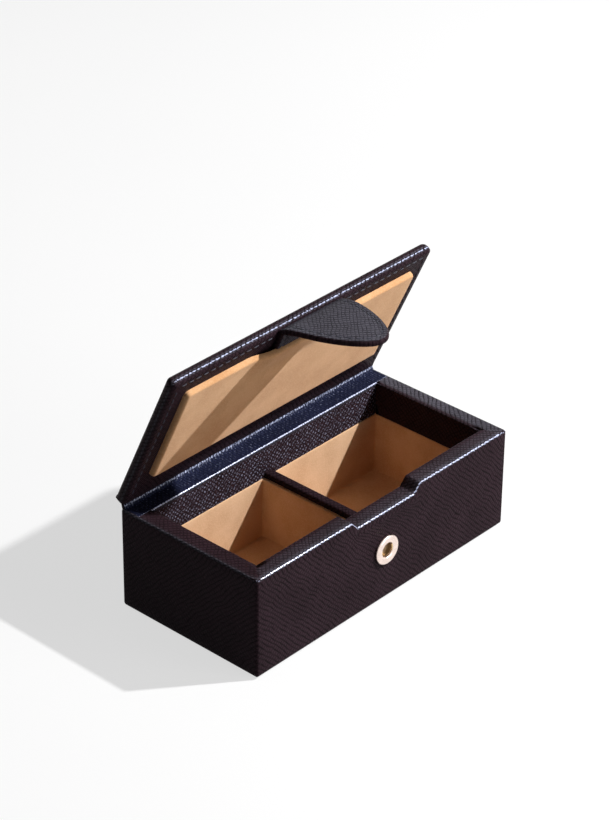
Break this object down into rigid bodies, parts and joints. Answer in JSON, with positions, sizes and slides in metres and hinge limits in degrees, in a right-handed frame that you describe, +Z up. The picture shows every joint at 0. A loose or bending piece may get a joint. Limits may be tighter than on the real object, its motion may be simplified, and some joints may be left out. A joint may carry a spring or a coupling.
{
  "type": "cufflink box",
  "caption": "Leather-covered cufflink box with suede-lined compartments, a leather-hinged lid and a closing tab with a snap fastener.",
  "frame": {"origin": "centre of the body's base, on the surface that the box stands on", "axes": "+X along the front towards the right-hand end, +Y from the front to the hinge at the back, +Z up"},
  "size_m": [0.125, 0.0655, 0.0998],
  "materials": {
    "black_leather": "black full-grain leather with a fine crosshatch print, soft sheen",
    "tan_suede": "tan microsuede, matt",
    "greyboard": "bookbinder's greyboard, hidden",
    "foam": "thin foam padding, hidden",
    "snap_metal": "pale gold plated brass, polished",
    "spring_steel": "drawn spring wire",
    "navy_thread": "waxed navy thread"
  },
  "bodies": {
    "root": {"base_sheet": "black_leather", "base_board": "greyboard", "front_board": "greyboard", "back_board": "greyboard", "left_board": "greyboard", "right_board": "greyboard", "outer_wrap": "black_leather", "rim_facing": "black_leather", "divider_board": "greyboard", "divider_leather": "black_leather", "left_tray_card": "greyboard", "right_tray_card": "greyboard", "left_tray_suede": "tan_suede", "right_tray_suede": "tan_suede", "snap_socket": "snap_metal", "socket_spring": "spring_steel", "socket_eyelet": "snap_metal", "hinge_strip": "black_leather", "hinge_spine": "black_leather"},
    "lid": {"lid_board": "greyboard", "lid_outer_leather": "black_leather", "lid_border": "black_leather", "lid_stitching": "navy_thread", "panel_card": "greyboard", "panel_pad": "foam", "panel_cover": "tan_suede", "tab_strap": "black_leather", "tab_fold": "black_leather"},
    "tab": {"tab_outer_leather": "black_leather", "tab_stiffener": "greyboard", "tab_lining": "black_leather", "tab_stitching": "navy_thread", "stud_rivet": "snap_metal", "snap_stud": "snap_metal"}
  },
  "joints": [
    {"name": "lid_hinge", "type": "hinge", "parent": "root", "child": "lid", "pos_m": [0, 0.0311, 0.0403], "axis": [-1, 0, 0], "range_deg": [-65.9, 44.1], "deforming": ["hinge_strip", "hinge_spine"]},
    {"name": "tab_flex", "type": "hinge", "parent": "lid", "child": "tab", "pos_m": [0, 0.00049, 0.09464], "axis": [1, 0, 0], "range_deg": [-60, 27], "stiffness_Nm_per_rad": 0.02, "deforming": ["tab_fold"]}
  ]
}
